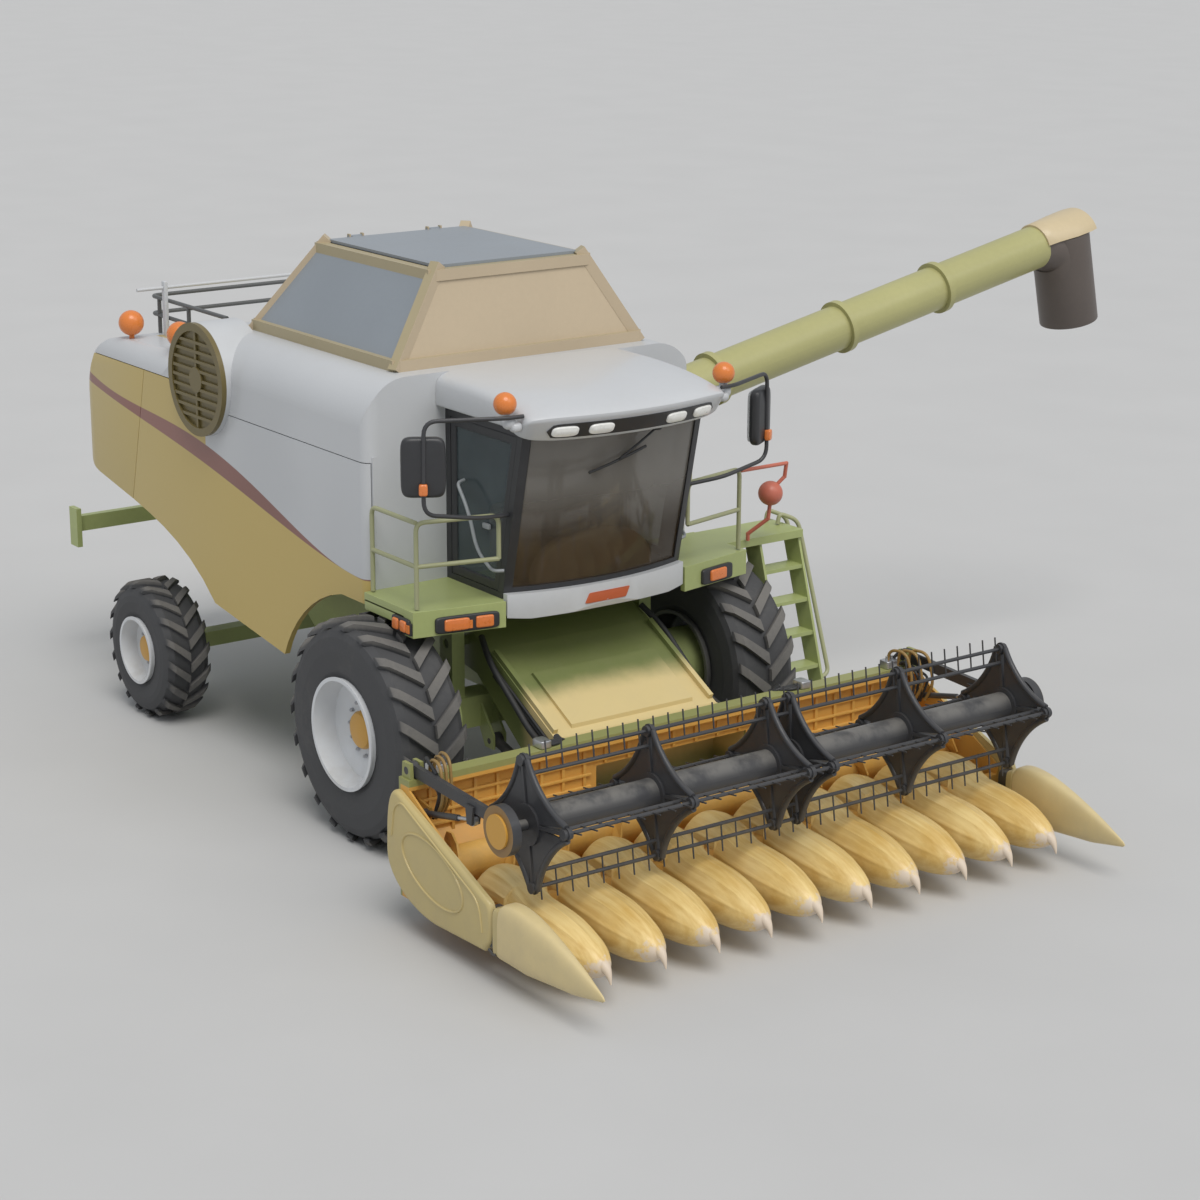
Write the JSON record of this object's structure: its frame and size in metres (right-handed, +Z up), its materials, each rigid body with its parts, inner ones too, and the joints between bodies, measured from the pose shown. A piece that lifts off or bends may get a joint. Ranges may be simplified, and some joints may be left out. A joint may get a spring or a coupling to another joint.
{
  "type": "combine harvester",
  "caption": "Self-propelled combine harvester with cab, grain tank, swing-out unloading auger and a row-crop header with reel.",
  "frame": {"origin": "on the ground, in the middle of the overall box of the parked machine with its unloader swung out", "axes": "+X forward, +Y to the machine's left (the unloader's side), +Z up"},
  "size_m": [10.207, 9.6402, 4.514],
  "materials": {
    "body_white": "gloss",
    "body_tan": "satin",
    "green_paint": "satin",
    "beige_paint": "satin",
    "tank_grey": "matte",
    "black_paint": "satin",
    "tyre": "matte",
    "rim_white": "satin",
    "glass": "gloss",
    "amber_lens": "gloss",
    "clear_lens": "gloss",
    "red_paint": "satin",
    "snout_yellow": "satin",
    "steel": "satin",
    "orange_paint": "satin",
    "brass_paint": "satin",
    "cab_trim": "matte",
    "engine_iron": "matte",
    "spout_grey": "matte",
    "header_yellow": "satin"
  },
  "bodies": {
    "chassis": {"chassis_frame": "green_paint", "drive_axle": "green_paint", "thresher_housing": "green_paint", "engine_block": "engine_iron", "grain_tank": "tank_grey", "upper_shell": "body_white", "side_panel_right": "body_tan", "side_panel_left": "body_tan", "rear_hood": "body_tan", "air_screen": "brass_paint", "tank_frame": "beige_paint", "tank_side_panels": "tank_grey", "tank_end_panels": "beige_paint", "rear_beam": "green_paint", "straw_chopper": "black_paint", "steer_axle": "green_paint", "unloader_base": "green_paint", "cab_frame": "black_paint", "cab_roof": "body_white", "cab_glass": "glass", "cab_interior": "cab_trim", "front_sill": "body_white", "cab_deck": "green_paint", "hand_rails": "green_paint", "ladder": "green_paint", "mirrors": "black_paint", "amber_lamps": "amber_lens", "roof_lamps": "clear_lens", "marker_ball": "red_paint", "window_right": "black_paint", "window_glass_right": "glass", "lamp_housings": "black_paint", "cab_tub": "black_paint"},
    "drive_wheel_left": {"drive_tyre_left": "tyre", "drive_rim_left": "rim_white"},
    "drive_wheel_right": {"drive_tyre_right": "tyre", "drive_rim_right": "rim_white"},
    "knuckle_l": {"knuckle_left": "green_paint"},
    "knuckle_r": {"knuckle_right": "green_paint"},
    "tie": {"tie_rod": "steel"},
    "steer_wheel_left": {"steer_tyre_left": "tyre", "steer_rim_left": "rim_white"},
    "steer_wheel_right": {"steer_tyre_right": "tyre", "steer_rim_right": "rim_white"},
    "feeder": {"feeder_house": "green_paint", "header_frame": "green_paint", "header_ends": "header_yellow", "row_snouts": "snout_yellow"},
    "lift_barrel_pair": {"lift_barrels": "black_paint"},
    "lift_rod_pair": {"lift_rods": "steel"},
    "auger": {"cross_auger": "orange_paint"},
    "arms": {"reel_arms": "black_paint"},
    "reel_barrel_pair": {"reel_barrels": "black_paint"},
    "reel_rod_pair": {"reel_rods": "steel"},
    "reel_drum": {"reel": "black_paint"},
    "unloader": {"unloader_tube": "green_paint", "unloader_spout": "spout_grey"},
    "left_door": {"door_left": "black_paint", "door_glass_left": "glass"},
    "lid": {"tank_lid": "tank_grey"}
  },
  "joints": [
    {"name": "drive_spin_left", "type": "hinge", "parent": "chassis", "child": "drive_wheel_left", "pos_m": [0.8765, -0.59008, 0.92], "axis": [0, 1, 0], "continuous": true},
    {"name": "drive_spin_right", "type": "hinge", "parent": "chassis", "child": "drive_wheel_right", "pos_m": [0.8765, -3.91008, 0.92], "axis": [0, 1, 0], "continuous": true},
    {"name": "steer_left", "type": "hinge", "parent": "chassis", "child": "knuckle_l", "pos_m": [-2.9875, -0.98008, 0.629], "axis": [0, 0, 1], "range_deg": [-38, 38]},
    {"name": "steer_right", "type": "hinge", "parent": "chassis", "child": "knuckle_r", "pos_m": [-2.9875, -3.52008, 0.629], "axis": [0, 0, 1], "range_deg": [-38, 38]},
    {"name": "tie_rod_swing", "type": "hinge", "parent": "knuckle_l", "child": "tie", "pos_m": [-3.2375, -0.98008, 0.572], "axis": [0, 0, 1], "range_deg": [-38, 38]},
    {"name": "steer_spin_left", "type": "hinge", "parent": "knuckle_l", "child": "steer_wheel_left", "pos_m": [-2.9875, -0.61608, 0.629], "axis": [0, 1, 0], "continuous": true},
    {"name": "steer_spin_right", "type": "hinge", "parent": "knuckle_r", "child": "steer_wheel_right", "pos_m": [-2.9875, -3.88408, 0.629], "axis": [0, 1, 0], "continuous": true},
    {"name": "feeder_lift", "type": "hinge", "parent": "chassis", "child": "feeder", "pos_m": [0.8765, -2.25008, 1.5], "axis": [0, -1, 0], "range_deg": [-2, 20]},
    {"name": "lift_swing", "type": "hinge", "parent": "chassis", "child": "lift_barrel_pair", "pos_m": [1.1265, -2.25008, 0.69], "axis": [0, -1, 0], "range_deg": [-3, 27]},
    {"name": "lift_slide", "type": "slide", "parent": "lift_barrel_pair", "child": "lift_rod_pair", "axis": [0.9672, 0, -0.2539], "range_m": [-0.03, 0.28]},
    {"name": "auger_spin", "type": "hinge", "parent": "feeder", "child": "auger", "pos_m": [2.9965, -2.25008, 0.56], "axis": [0, 1, 0], "continuous": true},
    {"name": "reel_lift", "type": "hinge", "parent": "feeder", "child": "arms", "pos_m": [2.6365, -2.25008, 1.23], "axis": [0, -1, 0], "range_deg": [0, 25]},
    {"name": "reel_cylinder_swing", "type": "hinge", "parent": "feeder", "child": "reel_barrel_pair", "pos_m": [2.7765, -2.25008, 0.93], "axis": [0, -1, 0], "range_deg": [0, 26]},
    {"name": "reel_cylinder_slide", "type": "slide", "parent": "reel_barrel_pair", "child": "reel_rod_pair", "axis": [0.9751, 0, 0.2216], "range_m": [0, 0.145]},
    {"name": "reel_spin", "type": "hinge", "parent": "arms", "child": "reel_drum", "pos_m": [3.9265, -2.25008, 1.17], "axis": [0, 1, 0], "continuous": true},
    {"name": "unloader_swing", "type": "hinge", "parent": "chassis", "child": "unloader", "pos_m": [0.0265, -0.35008, 2.74], "axis": [0, 0, 1], "range_deg": [0, 90]},
    {"name": "door_left_hinge", "type": "hinge", "parent": "chassis", "child": "left_door", "pos_m": [0.7835, -1.36408, 2.3], "axis": [0, 0, 1], "range_deg": [0, 75]},
    {"name": "lid_hinge", "type": "hinge", "parent": "chassis", "child": "lid", "pos_m": [-1.4235, -2.25008, 4.4698], "axis": [0, -1, 0], "range_deg": [0, 75]}
  ],
  "couplings": [
    {"joint": "steer_right", "follows": "steer_left", "ratio": 1},
    {"joint": "tie_rod_swing", "follows": "steer_left", "ratio": -1},
    {"joint": "lift_swing", "follows": "feeder_lift", "ratio": 1.33},
    {"joint": "lift_slide", "follows": "feeder_lift", "m_per_rad": 0.7878},
    {"joint": "reel_cylinder_swing", "follows": "reel_lift", "ratio": 1.015},
    {"joint": "reel_cylinder_slide", "follows": "reel_lift", "m_per_rad": 0.3284}
  ]
}
